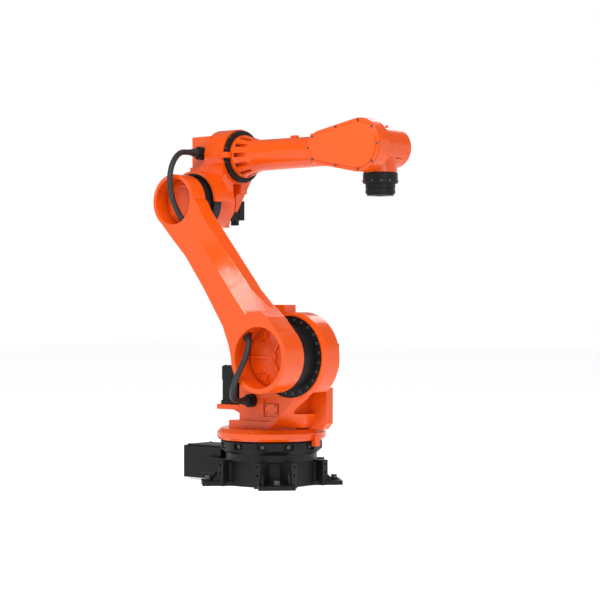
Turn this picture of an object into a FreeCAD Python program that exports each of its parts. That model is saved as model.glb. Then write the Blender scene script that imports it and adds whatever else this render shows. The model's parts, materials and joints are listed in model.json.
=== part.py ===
import FreeCAD, Part
import math
import os
import re

import Sketcher

# Six-axis industrial robot arm, in millimetres. The origin is on the floor under axis 1.
# +X is the way the forearm points, +Z is up, and the link arm runs on the -Y side.
# Axis 1 is vertical, axes 2, 3 and 5 lie along Y, axis 4 along X, and axis 6 points down.

SIZES = {
    # the arm's own geometry
    "axis_2_forward": 270, "axis_2_height": 755, "link_length": 1115, "link_lean": 36,
    "elbow_rise": 279, "forearm_length": 1186, "tool_drop": 273,
    # clearances
    "running_gap": 0.3, "fit_gap": 0.2, "body_gap": 5,
    # base
    "pedestal_half": 240, "pedestal_height": 147, "pedestal_corner": 100,
    "foot_reach": 410, "foot_half": 105, "foot_plate": 25, "foot_bolt_ring": 370,
    "foot_bolt_radius": 13.5, "gusset_inner": 70, "gusset_thick": 15, "pad_offset": 118, "pad_width": 46,
    "pad_reach": 293, "pad_hole_radius": 7,
    "ring_radius": 298, "ring_foot_radius": 267, "ring_top": 262, "bearing_radius": 225,
    "notch_width": 62, "notch_height": 34, "notch_depth": 18,
    "box_rear": 605, "box_half": 110, "box_low": 14, "box_high": 207,
    "box_cover_thick": 8,
    # turntable
    "disc_radius": 321, "disc_low": 268, "disc_thick": 67, "disc_bevel": 24, "step_thick": 44,
    "column_half": 160, "column_rear": 110, "housing_radius": 256, "housing_near": 158,
    "housing_far": 20, "housing_bevel": 12, "web_front": 420, "web_near": 6, "web_thick": 58,
    "lug_high": 298, "gear_ring_radius": 234, "gear_ring_face": 148, "gear_ring_thick": 40,
    "shelf_high": 468, "shelf_thick": 30, "motor_1_half": 64, "motor_1_x": -202,
    "motor_1_y": -84, "motor_1_tall": 224, "motor_2_half": 76, "motor_2_long": 230,
    "gland_1_x": -10, "gland_1_z": 497, "gland_radius": 39, "gland_long": 50,
    # link arm
    "link_near": 435, "link_far": 273, "lower_hub_radius": 202, "upper_hub_radius": 157,
    "upper_far": 325, "taper_start": 430,
    "lower_hollow": 174, "upper_hollow": 136, "lower_hollow_floor": 295,
    "upper_hollow_floor": 330, "front_edge": 131, "rear_edge": 102, "facet_low_width": 56,
    "facet_width": 80, "facet_depth": 75, "facet_top_width": 100, "facet_top_depth": 12,
    "hub_plate_thick": 12, "drive_2_radius": 188, "drive_3_radius": 150,
    "hose_radius": 16.5, "hose_bore": 31, "hose_bore_y": 380,
    # elbow
    "collar_radius": 185, "elbow_near": 268, "collar_depth": 120, "elbow_bore": 170,
    "elbow_bore_depth": 70, "core_radius": 152, "elbow_boss_radius": 96, "elbow_far": 15,
    "cheek_near": 152, "cheek_far": 70, "chin_near": 140, "chin_top_far": 120,
    "chin_low_far": 30, "chin_slot_near": 54, "chin_slot_width": 68, "chin_slot_depth": 60,
    "chin_low_front": 35, "chin_drop": 140, "elbow_motor_drop": 35,
    "rear_face": 126, "rear_half_height": 122, "rear_half": 132,
    "wrist_drive_radius": 163, "housing_4_rear": 15, "housing_4_front": 145,
    "ring_4_radius": 154, "ring_4_thick": 26,
    "motor_3_half": 62, "wrist_motor_half": 52, "wrist_motor_long": 118,
    # forearm
    "flange_4_radius": 127, "flange_4_thick": 16, "root_long": 128, "tube_radius": 92, "tube_end_radius": 87,
    "tube_end": 360, "slab_far": 110, "slab_near": 200, "boss_radius": 149,
    "slab_small_radius": 96, "slab_length": 270, "bridge_end": 200, "cover_thick": 18,
    "cover_inset": 2, "cover_flange": 6, "bulge_inset": 24,
    # wrist and tool
    "drum_radius": 111, "drum_near": 104, "drum_far": 120, "cap_thick": 34,
    "neck_radius": 94, "neck_drop": 146, "ring_6_radius": 98, "ring_6_thick": 60,
    "tool_radius": 84, "tool_face_radius": 76, "tool_face_thick": 11, "tool_bolt_ring": 62.5,
    "tool_bolt_radius": 5, "tool_bore_radius": 31.5, "tool_bore_depth": 8,
}

AXIS_2_X = "axis_2_forward"
AXIS_2_Z = "axis_2_height"
AXIS_3_X = "(axis_2_forward - link_length * sin(link_lean))"
AXIS_3_Z = "(axis_2_height + link_length * cos(link_lean))"
AXIS_4_Z = "(axis_2_height + link_length * cos(link_lean) + elbow_rise)"
AXIS_5_X = "(axis_2_forward - link_length * sin(link_lean) + forearm_length)"
RING_4_FACE = f"({AXIS_3_X} + housing_4_front + ring_4_thick)"

X = FreeCAD.Vector(1, 0, 0)
Y = FreeCAD.Vector(0, 1, 0)
Z = FreeCAD.Vector(0, 0, 1)
UPRIGHT = FreeCAD.Rotation()
ALONG = {
    "X": FreeCAD.Rotation(Z, X), "Y": FreeCAD.Rotation(Z, Y), "Z": UPRIGHT,
    "-Y": FreeCAD.Rotation(Z, -Y), "-Z": FreeCAD.Rotation(X, 180),
}
PLANES = {
    "XY": (UPRIGHT, Z),
    "XZ": (FreeCAD.Rotation(X, 90), Y),
}
WORD = re.compile(r"[a-z_][a-z_0-9]*")

doc = FreeCAD.newDocument("robot_arm")
sheet = doc.addObject("Spreadsheet::Sheet", "dims")
for row, (word, value) in enumerate(SIZES.items(), start=1):
    sheet.set(f"A{row}", word)
    sheet.set(f"B{row}", str(value))
    sheet.setAlias(f"B{row}", word)
doc.recompute()

sub_parts = []


def bound(text):
    """An expression whose size words are read from the sheet."""
    def cell(found):
        return "dims." + found.group() if found.group() in SIZES else found.group()
    return WORD.sub(cell, str(text))


def tie(thing, **sizes):
    for size, text in sizes.items():
        thing.setExpression(size, bound(text))
    return thing


def put(thing, at, rotation=UPRIGHT):
    """Places a shape; each coordinate is an expression in the sheet's words."""
    thing.Placement = FreeCAD.Placement(FreeCAD.Vector(), rotation)
    for letter, text in zip("xyz", at):
        thing.setExpression(f"Placement.Base.{letter}", bound(text))
    return thing


def node(label, thing):
    """Names a finished sub-part; its label names its file."""
    thing.Label = label
    sub_parts.append(thing)
    return thing


# ---- Part shapes -----------------------------------------------------------------------

def box(low, size):
    block = doc.addObject("Part::Box", "block")
    tie(block, Length=size[0], Width=size[1], Height=size[2])
    return put(block, low)


def cylinder(radius, height, at, along="Z"):
    rod = doc.addObject("Part::Cylinder", "rod")
    tie(rod, Radius=radius, Height=height)
    return put(rod, at, ALONG[along])


def cone(radius, end_radius, height, at, along="Z"):
    taper = doc.addObject("Part::Cone", "taper")
    tie(taper, Radius1=radius, Radius2=end_radius, Height=height)
    return put(taper, at, ALONG[along])


def draw(sketch, corners):
    """Closes an outline through corners, and ties every corner to the sheet."""
    count = len(corners)
    for number in range(count):
        start = FreeCAD.Vector(number, number * number, 0)
        end = FreeCAD.Vector(number + 1, (number + 1) ** 2, 0)
        sketch.addGeometry(Part.LineSegment(start, end), False)
    for number in range(count):
        sketch.addConstraint(Sketcher.Constraint("Coincident", number, 2, (number + 1) % count, 1))
    for number, corner in enumerate(corners):
        for kind, text in zip(("DistanceX", "DistanceY"), corner):
            place = sketch.addConstraint(Sketcher.Constraint(kind, -1, 1, number, 1, number + 1.0))
            sketch.setExpression(f"Constraints[{place}]", bound(text))
    return sketch


def prism(corners, plane, start, length):
    """A flat outline in a plane, made solid from start over length along the third axis."""
    turn, way = PLANES[plane]
    offset = {"XY": ("0", "0", start), "XZ": ("0", start, "0")}[plane]
    outline = draw(doc.addObject("Sketcher::SketchObject", "outline"), corners)
    put(outline, offset, turn)
    solid = doc.addObject("Part::Extrusion", "prism")
    solid.Base = outline
    solid.DirMode = "Custom"
    solid.Dir = way
    solid.Solid = True
    return tie(solid, LengthFwd=length)


def loft(sections):
    """A ruled solid through outlines that lie across Z; each is (height, corners)."""
    outlines = []
    for height, corners in sections:
        outline = draw(doc.addObject("Sketcher::SketchObject", "section"), corners)
        outlines.append(put(outline, ("0", "0", height)))
    solid = doc.addObject("Part::Loft", "loft")
    solid.Sections = outlines
    solid.Solid = True
    solid.Ruled = True
    return solid


def fuse(*shapes):
    joined = doc.addObject("Part::MultiFuse", "joined")
    joined.Shapes = list(shapes)
    return joined


def cut(base, *tools):
    for tool in tools:
        rest = doc.addObject("Part::Cut", "rest")
        rest.Base = base
        rest.Tool = tool
        base = rest
    return base


def turned(shape, axis, angle):
    """A copy of a shape turned about an axis through the origin."""
    copy = doc.addObject("Part::Compound", "copy")
    copy.Links = [shape]
    copy.Placement = FreeCAD.Placement(FreeCAD.Vector(), FreeCAD.Rotation(axis, angle))
    return copy


# ---- PartDesign bodies -----------------------------------------------------------------

def new_body(label):
    body = doc.addObject("PartDesign::Body", label)
    return node(label, body)


def origin_plane(body, role):
    for feature in body.Origin.OriginFeatures:
        if feature.Role == role:
            return feature
    raise ValueError(role)


def body_sketch(body, role, corners, lift="0"):
    sketch = body.newObject("Sketcher::SketchObject", "sketch")
    sketch.AttachmentSupport = (origin_plane(body, role), [""])
    sketch.MapMode = "FlatFace"
    sketch.setExpression("AttachmentOffset.Base.z", bound(lift))
    return draw(sketch, corners)


def round_sketch(body, role, radius, at, lift="0"):
    sketch = body.newObject("Sketcher::SketchObject", "hole")
    sketch.AttachmentSupport = (origin_plane(body, role), [""])
    sketch.MapMode = "FlatFace"
    sketch.setExpression("AttachmentOffset.Base.z", bound(lift))
    sketch.addGeometry(Part.Circle(FreeCAD.Vector(10, 10, 0), Z, 5), False)
    for kind, text in zip(("DistanceX", "DistanceY"), at):
        place = sketch.addConstraint(Sketcher.Constraint(kind, -1, 1, 0, 3, 10.0))
        sketch.setExpression(f"Constraints[{place}]", bound(text))
    place = sketch.addConstraint(Sketcher.Constraint("Radius", 0, 5.0))
    sketch.setExpression(f"Constraints[{place}]", bound(radius))
    return sketch


def revolve(body, corners, axis):
    """Turns a half outline on the XZ plane about the sketch's own axis."""
    feature = body.newObject("PartDesign::Revolution", "turned")
    feature.Profile = body_sketch(body, "XZ_Plane", corners)
    feature.ReferenceAxis = (feature.Profile[0], [axis])
    feature.Angle = 360
    body.Tip = feature
    return feature


def pad(body, sketch, length):
    feature = body.newObject("PartDesign::Pad", "pad")
    feature.Profile = sketch
    tie(feature, Length=length)
    body.Tip = feature
    return feature


def pocket(body, sketch, length, upwards=False):
    doc.recompute()
    before = body.Tip.Shape.Volume
    feature = body.newObject("PartDesign::Pocket", "pocket")
    feature.Profile = sketch
    feature.Reversed = upwards
    tie(feature, Length=length)
    body.Tip = feature
    doc.recompute()
    if not feature.Shape.Volume < before - 1:
        raise RuntimeError(f"a pocket of {body.Label} cuts nothing")
    return feature


def around(body, feature, role, count):
    """Repeats a feature evenly about one of the body's own axes."""
    pattern = body.newObject("PartDesign::PolarPattern", "pattern")
    pattern.Originals = [feature]
    pattern.Axis = (origin_plane(body, role), [""])
    pattern.Angle = 360
    pattern.Occurrences = count
    body.Tip = pattern
    return pattern


# ---- Base ------------------------------------------------------------------------------

def foot():
    """One corner foot, along +X: a floor plate, two sloping gussets and the bolt boss."""
    plate = box(("pedestal_half - 60", "-foot_half", "0"),
                ("foot_reach - pedestal_half + 60", "2 * foot_half", "foot_plate"))
    slope = [("pedestal_half - 60", "foot_plate - 5"), ("foot_reach - 62", "foot_plate - 5"),
             ("foot_reach - 62", "foot_plate + 14"), ("pedestal_half + 10", "pedestal_height - 10"),
             ("pedestal_half - 60", "pedestal_height - 10")]
    gussets = [prism(slope, "XZ", "gusset_inner", "gusset_thick"),
               prism(slope, "XZ", "-gusset_inner - gusset_thick", "gusset_thick")]
    lip = box(("pedestal_half - 60", "-gusset_inner - 1", "pedestal_height - 22"),
              ("72", "2 * gusset_inner + 2", "12"))
    boss = cylinder("foot_bolt_radius + 14", "9", ("foot_bolt_ring", "0", "foot_plate - 1"))
    hole = cylinder("foot_bolt_radius", "foot_plate + 20", ("foot_bolt_ring", "0", "-5"))
    head_room = cylinder("foot_bolt_radius + 13", "pedestal_height",
                         ("foot_bolt_ring", "0", "foot_plate + 8"))
    return cut(fuse(plate, *gussets, lip, boss), head_room, hole)


def side_pads():
    """The two upright pads of one side, along +X, each with two threaded holes."""
    pads = []
    holes = []
    for low in ("pad_offset", "-pad_offset - pad_width"):
        pads.append(box(("pedestal_half - 30", low, "0"),
                        ("pad_reach - pedestal_half + 30", "pad_width", "pedestal_height")))
        for height in ("pedestal_height - 22", "pedestal_height - 71"):
            holes.append(cylinder("pad_hole_radius", "30",
                                  ("pad_reach - 24", f"{low} + pad_width / 2", height), "X"))
    return cut(fuse(*pads), fuse(*holes))


def base_casting():
    half = "pedestal_half"
    flat = "pedestal_corner"
    corners = [(half, flat), (flat, half), (f"-{flat}", half), (f"-{half}", flat),
               (f"-{half}", f"-{flat}"), (f"-{flat}", f"-{half}"), (flat, f"-{half}"),
               (half, f"-{flat}")]
    pieces = [prism(corners, "XY", "0", "pedestal_height")]
    corner_foot = foot()
    pads = side_pads()
    for quarter in range(4):
        pieces.append(turned(corner_foot, Z, 45 + 90 * quarter))
        pieces.append(turned(pads, Z, 90 * quarter))
    node("base_casting", fuse(*pieces))


def base_ring():
    body = new_body("base_ring")
    neck = "pedestal_height + 40"
    revolve(body, [("0", "pedestal_height"), ("ring_foot_radius", "pedestal_height"),
                   ("ring_foot_radius", neck), ("ring_radius", f"{neck} + 26"),
                   ("ring_radius", "ring_top - 4"), ("ring_radius - 4", "ring_top"),
                   ("bearing_radius", "ring_top"), ("bearing_radius", "disc_low - running_gap"),
                   ("0", "disc_low - running_gap")], "V_Axis")
    edge = "ring_radius - notch_depth"
    side = "notch_width / 2"
    notch = body_sketch(body, "XY_Plane", [(edge, f"-{side}"), ("ring_radius + 20", f"-{side}"),
                                           ("ring_radius + 20", side), (edge, side)],
                        "ring_top - 10")
    around(body, pocket(body, notch, "notch_height"), "Z_Axis", 12)


def connector_box():
    slope = [("-box_rear + 136", "50"), ("-ring_radius - 2", "50"),
             ("-ring_radius - 2", "pedestal_height + 4"),
             ("-box_rear + 221", "pedestal_height + 4")]
    gusset = prism(slope, "XZ", "-box_half - 18", "19")
    shell = box(("-box_rear", "-box_half", "box_low"),
                ("box_rear - ring_radius - 2", "2 * box_half", "box_high - box_low"))
    neck = box(("-ring_radius - 10", "-box_half + 20", "box_low"),
               ("ring_radius + 10 - pedestal_half", "2 * box_half - 40",
                "pedestal_height - 5 - box_low"))
    node("connector_box", fuse(shell, gusset, neck))
    cover = box(("-box_rear + 26", "-box_half + 6", "box_high"),
                ("box_rear - ring_radius - 36", "2 * box_half - 12", "box_cover_thick"))
    node("connector_cover", cover)


# ---- Turntable -------------------------------------------------------------------------

def turntable_disc():
    body = new_body("turntable_disc")
    top = "disc_low + disc_thick"
    revolve(body, [("0", "disc_low"), ("disc_radius - 14", "disc_low"),
                   ("disc_radius", "disc_low + 14"), ("disc_radius", f"{top} - disc_bevel"),
                   ("disc_radius - disc_bevel", top), ("0", top)], "V_Axis")


def column_casting():
    """The upright between the disc and the axis 2 housing, with the housing itself."""
    floor = "disc_low + disc_thick"
    rear = "-column_rear"
    half = "column_half"
    step = prism([(f"{rear} - 60", f"-{half} - 25"), ("120", f"-{half} - 25"), ("250", "-75"),
                  ("250", "75"), ("120", f"{half} + 25"), (f"{rear} - 60", f"{half} + 25")],
                 "XY", floor, "step_thick")
    low = [(rear, f"-{half}"), ("140", f"-{half}"), ("296", "-70"), ("296", "70"),
           ("140", half), (rear, half)]
    high = [(rear, f"-{half}"), ("360", f"-{half}"), ("web_front", f"-{half} + 4"),
            ("web_front", "60"), ("360", "80"), (rear, "80")]
    trunk = loft([(f"{floor} + 10", low), ("axis_2_height - 180", high)])
    side = [(rear, "axis_2_height - 180"), ("web_front", "axis_2_height - 180"),
            ("axis_2_forward + 120", "axis_2_height"),
            ("axis_2_forward - 200", "axis_2_height + 90"), (rear, "axis_2_height - 120")]
    shoulder = prism(side, "XZ", f"-{half} + 2", "column_half - 2 - housing_far")
    web = prism([("286", floor), ("web_front - 34", floor), ("web_front", f"{floor} + 36"),
                 ("web_front", "axis_2_height - 180"), ("286", "axis_2_height - 180")],
                "XZ", "-web_near", "web_thick")
    front_room = box(("disc_radius - 40", f"-{half} + 24", f"{floor} + 92"),
                     ("web_front", f"{half} - 24 - web_near", "128"))
    housing = fuse(cone("housing_radius - housing_bevel", "housing_radius", "2 * housing_bevel",
                        (AXIS_2_X, "-housing_near", AXIS_2_Z), "Y"),
                   cylinder("housing_radius", "housing_near - 2 * housing_bevel - housing_far",
                            (AXIS_2_X, "2 * housing_bevel - housing_near", AXIS_2_Z), "Y"))
    recess = cylinder("gear_ring_radius + fit_gap", "200",
                      (AXIS_2_X, "-gear_ring_face + gear_ring_thick - 200", AXIS_2_Z), "Y")
    panel = box(("75", "-column_half - 20", f"{floor} + 70"), ("118", "32", "106"))
    rim = cylinder("disc_radius + fit_gap", "disc_thick + 40", ("0", "0", "disc_low - 40"))
    solid = fuse(step, trunk, shoulder, web, housing)
    node("column_casting", cut(solid, recess, panel, rim, front_room))


def turntable_trim():
    """Plates, tab and lug that are fixed to the turntable."""
    plate = box(("88", "-column_half + 12 - 14", "disc_low + disc_thick + 84"), ("92", "14", "62"))
    node("access_cover", plate)
    tab = box(("disc_radius - 15", "-4", "disc_low - 32"), ("33", "44", "66"))
    rim = cylinder("disc_radius + fit_gap", "disc_thick", ("0", "0", "disc_low"))
    node("stop_tab", cut(tab, rim))
    lug_x = f"{AXIS_2_X} - 180"
    lug = box((lug_x, "-housing_near + 20", "axis_2_height + 150"),
              ("128", "100", "lug_high - 150"))
    clear = cylinder("housing_radius + fit_gap", "housing_near",
                     (AXIS_2_X, "-housing_near", AXIS_2_Z), "Y")
    node("lifting_lug", cut(lug, clear))
    ring = cylinder("gear_ring_radius", "gear_ring_thick",
                    (AXIS_2_X, "-gear_ring_face", AXIS_2_Z), "Y")
    node("axis_2_housing_ring", ring)


def motor(label, half, long, at, along, connector):
    """A square servo motor with a flange, a narrower body, a brake end and a connector."""
    body = new_body(label)
    square = [(f"-{half}", f"-{half}"), (half, f"-{half}"), (half, half), (f"-{half}", half)]
    slim = f"{half} * 0.9"
    waist = [(f"-{slim}", f"-{slim}"), (slim, f"-{slim}"), (slim, slim), (f"-{slim}", slim)]
    pad(body, body_sketch(body, "XY_Plane", square), "22")
    pad(body, body_sketch(body, "XY_Plane", waist, "20"), f"{long} * 0.66 - 20")
    brake = f"{half} * 0.94"
    end = [(f"-{brake}", f"-{brake}"), (brake, f"-{brake}"), (brake, brake), (f"-{brake}", brake)]
    pad(body, body_sketch(body, "XY_Plane", end, f"{long} * 0.66 - 4"), f"{long} * 0.34 + 4")
    plug_half = f"{half} * 0.36"
    plug = [(slim, f"-{plug_half}"), (f"{half} + 26", f"-{plug_half}"),
            (f"{half} + 26", plug_half), (slim, plug_half)]
    if connector:
        pad(body, body_sketch(body, "XY_Plane", plug, f"{long} * 0.7"), f"{long} * 0.22")
    put(body, at, along)


def turntable_motors():
    shelf = box(("motor_1_x - motor_1_half - 20", "motor_1_y - motor_1_half - 16",
                 "shelf_high - shelf_thick"),
                ("-column_rear - motor_1_x + motor_1_half + 20", "2 * motor_1_half + 32",
                 "shelf_thick"))
    rib = prism([("motor_1_x - 20", "shelf_high - shelf_thick"),
                 ("-column_rear", "shelf_high - shelf_thick"),
                 ("-column_rear", "shelf_high - shelf_thick - 46")],
                "XZ", "motor_1_y - 14", "28")
    node("motor_shelf", fuse(shelf, rib))
    motor("axis_1_motor", "motor_1_half", "motor_1_tall",
          ("motor_1_x", "motor_1_y", "shelf_high"), FreeCAD.Rotation(Z, 180), False)
    motor("axis_2_motor", "motor_2_half", "motor_2_long",
          (AXIS_2_X, "-housing_far", AXIS_2_Z), FreeCAD.Rotation(Z, X, Y), True)


def gland(label, at, face):
    """A D-shaped cable gland on a face that looks along -Y, with its hose socket."""
    collar = cylinder("gland_radius", "gland_long - 16", (at[0], face, at[1]), "-Y")
    flat = box((f"{at[0]} - gland_radius", f"{face} - gland_long", f"{at[1]} - gland_radius - 2"),
               ("12", "gland_long + 2", "2 * gland_radius + 4"))
    socket = cylinder("hose_radius + 7", "gland_long", (at[0], face, at[1]), "-Y")
    node(label, fuse(cut(collar, flat), socket))


# ---- Link arm --------------------------------------------------------------------------
# Its pieces are drawn with axis 2 at the origin and axis 3 straight above, then leaned back.

def leaned(label, shape):
    piece = turned(shape, -Y, SIZES["link_lean"])
    piece.setExpression("Placement.Rotation.Angle", bound("link_lean"))
    piece.setExpression("Placement.Base.x", bound(AXIS_2_X))
    piece.setExpression("Placement.Base.z", bound(AXIS_2_Z))
    node(label, piece)


def link_disc(radius, near, far, height="0"):
    """A round piece of the link arm, from one distance beside the centre plane to another."""
    return cylinder(radius, f"{near} - ({far})", ("0", f"-({near})", height), "Y")


def link_arm_casting():
    top = "link_length"
    side = [("lower_hub_radius - 3", "40"), ("lower_hub_radius - 16", "150"),
            ("front_edge + 24", "265"), ("front_edge + 2", "380"), ("front_edge", "480"),
            ("front_edge", f"{top} - 190"), ("front_edge + 8", f"{top} - 110"),
            ("upper_hub_radius - 24", f"{top} - 60"), ("upper_hub_radius - 2", top),
            ("2 - upper_hub_radius", top), ("-upper_hub_radius + 12", f"{top} - 84"),
            ("-rear_edge - 28", f"{top} - 190"), ("-rear_edge - 6", f"{top} - 320"),
            ("-rear_edge", "557"), ("-rear_edge - 8", "300"), ("-rear_edge - 34", "190"),
            ("-lower_hub_radius + 30", "96"), ("-lower_hub_radius + 3", "20")]
    web = prism(side, "XZ", "-link_near", "link_near - link_far")
    hubs = [link_disc("lower_hub_radius", "link_near", "link_far"),
            link_disc("upper_hub_radius", "link_near", "link_far", top)]
    hollows = [link_disc("lower_hollow", "link_near + 5", "lower_hollow_floor"),
               link_disc("upper_hollow", "link_near + 5", "upper_hollow_floor", top)]

    def facet(height, width, depth):
        """The bevel's section: a triangle across the near front edge."""
        outer = "front_edge + 40"
        return (height, [(f"front_edge - {width}", "-link_near"),
                         (f"front_edge - {width}", "-link_near - 20"), (outer, "-link_near - 20"),
                         (outer, f"-link_near + {depth} * (1 + 40 / {width})")])
    bevel = loft([facet("140", "facet_low_width", "facet_depth"),
                  facet("449", "facet_width", "facet_depth"),
                  facet(f"{top} - 285", "facet_top_width", "facet_top_depth"),
                  facet(f"{top} - 49", "24", "1")])
    bevel = cut(bevel, cone("lower_hub_radius + 87", "lower_hub_radius - 84", "192",
                            ("0", "-link_near - 30", "0"), "Y"))

    def far_side(height, far):
        """The room beside the link arm, on its far side."""
        wide = "2 * upper_hub_radius"
        return (height, [(f"-{wide}", f"-({far})"), (wide, f"-({far})"), (wide, "0"),
                         (f"-{wide}", "0")])
    taper = loft([far_side("taper_start", "link_far"), far_side(f"{top} - 170", "upper_far"),
                  far_side(f"{top} + 200", "upper_far")])
    bores = [cylinder("hose_bore", "210", ("-30", "-hose_bore_y", "lower_hollow - 30")),
             cylinder("hose_bore", "170", ("-38", "-hose_bore_y", f"{top} - upper_hollow - 140"))]
    leaned("link_arm_casting", cut(fuse(web, *hubs), *hollows, *bores, bevel, taper))


def hub_plates():
    near = "lower_hollow_floor + hub_plate_thick"
    plate = link_disc("lower_hollow - 10", near, "lower_hollow_floor")
    hub = link_disc("34", f"{near} + 10", f"{near} - 1")
    spokes = [hub]
    for angle in (-144, -24, 96):
        spoke = box(("20", f"-({near}) - 9", "-6"), ("lower_hollow - 34", "10", "12"))
        spokes.append(turned(spoke, Y, angle))
    leaned("lower_hub_plate", fuse(plate, *spokes))
    near = "upper_hollow_floor + hub_plate_thick"
    plate = link_disc("upper_hollow - 8", near, "upper_hollow_floor", "link_length")
    ring = link_disc("upper_hollow - 34", f"{near} + 12", f"{near} - 1", "link_length")
    dish = link_disc("upper_hollow - 50", f"{near} + 20", f"{near}", "link_length")
    leaned("upper_hub_plate", cut(fuse(plate, ring), dish))


def link_drives():
    drive = link_disc("drive_2_radius", "link_far", "gear_ring_face + running_gap")
    leaned("axis_2_reducer", drive)
    floor = "elbow_near - elbow_bore_depth"
    drive = link_disc("drive_3_radius", "upper_far", f"{floor} + running_gap", "link_length")
    leaned("axis_3_reducer", drive)


# ---- Elbow -----------------------------------------------------------------------------

def elbow_chin():
    """The forked chin under the axis 4 housing: two ribs that narrow downwards."""
    front = f"{AXIS_3_X} + housing_4_front"
    low_front = f"{AXIS_3_X} + chin_low_front"
    top = [(f"{front} - 190", "-chin_near"), (f"{front} - 6", "-chin_near"),
           (f"{front} - 6", "chin_top_far"), (f"{front} - 190", "chin_top_far")]
    low = [(f"{AXIS_3_X} - 60", "-chin_near + 20"), (low_front, "-chin_near + 20"),
           (low_front, "chin_low_far"), (f"{AXIS_3_X} - 60", "chin_low_far")]
    return loft([(f"{AXIS_3_Z} - chin_drop", low), (f"{AXIS_4_Z} - 110", top)])


def chin_slot():
    front = f"{AXIS_3_X} + housing_4_front"
    low_front = f"{AXIS_3_X} + chin_low_front"
    slot_side = [(f"{front} - 20 - chin_slot_depth", f"{AXIS_4_Z} - wrist_drive_radius"),
                 (f"{front} + 30", f"{AXIS_4_Z} - wrist_drive_radius"),
                 (f"{front} + 30", f"{AXIS_3_Z} - 92"),
                 (f"{low_front} + 14 - chin_slot_depth", f"{AXIS_3_Z} - 92")]
    return prism(slot_side, "XZ", "-chin_slot_near", "chin_slot_width")


def elbow_casting():
    """The casting that carries the forearm: axis 3 hub, rear box and axis 4 housing."""
    arch = cylinder("collar_radius", "collar_depth", (AXIS_3_X, "-elbow_near", AXIS_3_Z), "Y")
    below = box((f"{AXIS_3_X} - collar_radius - 5", "-elbow_near - 5",
                 f"{AXIS_3_Z} - collar_radius - 5"),
                ("2 * collar_radius + 10", "collar_depth + 10", "collar_radius + 5"))
    floor = "(elbow_near - elbow_bore_depth)"
    core = cylinder("core_radius", f"{floor} - 60", (AXIS_3_X, f"-{floor}", AXIS_3_Z), "Y")
    boss = cylinder("elbow_boss_radius", "61 + elbow_far", (AXIS_3_X, "-61", AXIS_3_Z), "Y")
    rear = f"{AXIS_3_X} - rear_face"
    rear_box = box((rear, "-rear_half", f"{AXIS_4_Z} - rear_half_height"),
                   ("rear_face + housing_4_rear", "2 * rear_half", "2 * rear_half_height"))
    housing = cylinder("wrist_drive_radius", "housing_4_front", (AXIS_3_X, "0", AXIS_4_Z), "X")
    cheek_side = [(rear, f"{AXIS_3_Z} + 60"),
                  (f"{AXIS_3_X} + housing_4_front - 12", f"{AXIS_3_Z} + 60"),
                  (f"{AXIS_3_X} + housing_4_front - 12", f"{AXIS_4_Z} - 60"),
                  (rear, f"{AXIS_4_Z} - 60")]
    cheek = prism(cheek_side, "XZ", "-cheek_near", "cheek_near + cheek_far")
    bore = cylinder("elbow_bore", "elbow_bore_depth + 5",
                    (AXIS_3_X, "-elbow_near - 5", AXIS_3_Z), "Y")
    motor_room = box((f"{AXIS_3_X} - motor_3_half - body_gap", "elbow_far",
                      f"{AXIS_3_Z} - elbow_motor_drop - motor_3_half - 40"),
                     ("2 * motor_3_half + 2 * body_gap", "200", "2 * motor_3_half + body_gap + 40"))
    solid = fuse(cut(arch, below), core, boss, rear_box, housing, cheek, elbow_chin())
    node("elbow_casting", cut(solid, bore, motor_room, chin_slot()))


def elbow_rings():
    """The fixed black rings round the axis 3 drive and behind the forearm flange."""
    floor = "elbow_near - elbow_bore_depth"
    ring = cylinder("elbow_bore - fit_gap", "elbow_bore_depth - 8",
                    (AXIS_3_X, f"-({floor}) - elbow_bore_depth + 8", AXIS_3_Z), "Y")
    room = cylinder("drive_3_radius + body_gap", "elbow_bore_depth + 20",
                    (AXIS_3_X, f"-({floor}) - elbow_bore_depth - 10", AXIS_3_Z), "Y")
    node("axis_3_ring", cut(ring, room))
    face = f"({AXIS_3_X} + housing_4_front)"
    node("axis_4_ring", cylinder("ring_4_radius", "ring_4_thick", (face, "0", AXIS_4_Z), "X"))
    stop = box((f"{face} - 20", "-wrist_drive_radius - 8", f"{AXIS_4_Z} - 17"),
               ("ring_4_thick + 38", "wrist_drive_radius + 2 - flange_4_radius", "34"))
    bed = cylinder("wrist_drive_radius + fit_gap", "60", (f"{face} - 60", "0", AXIS_4_Z), "X")
    room = cylinder("ring_4_radius + fit_gap", "ring_4_thick", (face, "0", AXIS_4_Z), "X")
    node("axis_4_stop", cut(stop, bed, room))


def elbow_motors():
    motor("axis_3_motor", "motor_3_half", "wrist_motor_long",
          (AXIS_3_X, "elbow_far", f"{AXIS_3_Z} - elbow_motor_drop"),
          FreeCAD.Rotation(-Z, -X, Y), True)
    rear = f"({AXIS_3_X} - rear_face)"
    plate = box((f"{rear} - 14", "-rear_half + 13", f"{AXIS_4_Z} - rear_half_height + 8"),
                ("14", "2 * rear_half - 26", "2 * rear_half_height - 16"))
    node("motor_plate", plate)
    places = {"axis_5_motor": ("66", f"{AXIS_4_Z} + wrist_motor_half + 3"),
              "axis_6_motor": ("66", f"{AXIS_4_Z} - wrist_motor_half - 3")}
    for label, (across, height) in places.items():
        motor(label, "wrist_motor_half", "wrist_motor_long", (f"{rear} - 14", across, height),
              FreeCAD.Rotation(Z, Y, -X), False)
    motor("axis_4_motor", "wrist_motor_half", "wrist_motor_long",
          (f"{AXIS_3_X} - rear_face + 56", "rear_half", f"{AXIS_4_Z} + 30"),
          FreeCAD.Rotation(Z, X, Y), False)


# ---- Forearm ---------------------------------------------------------------------------

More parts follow.
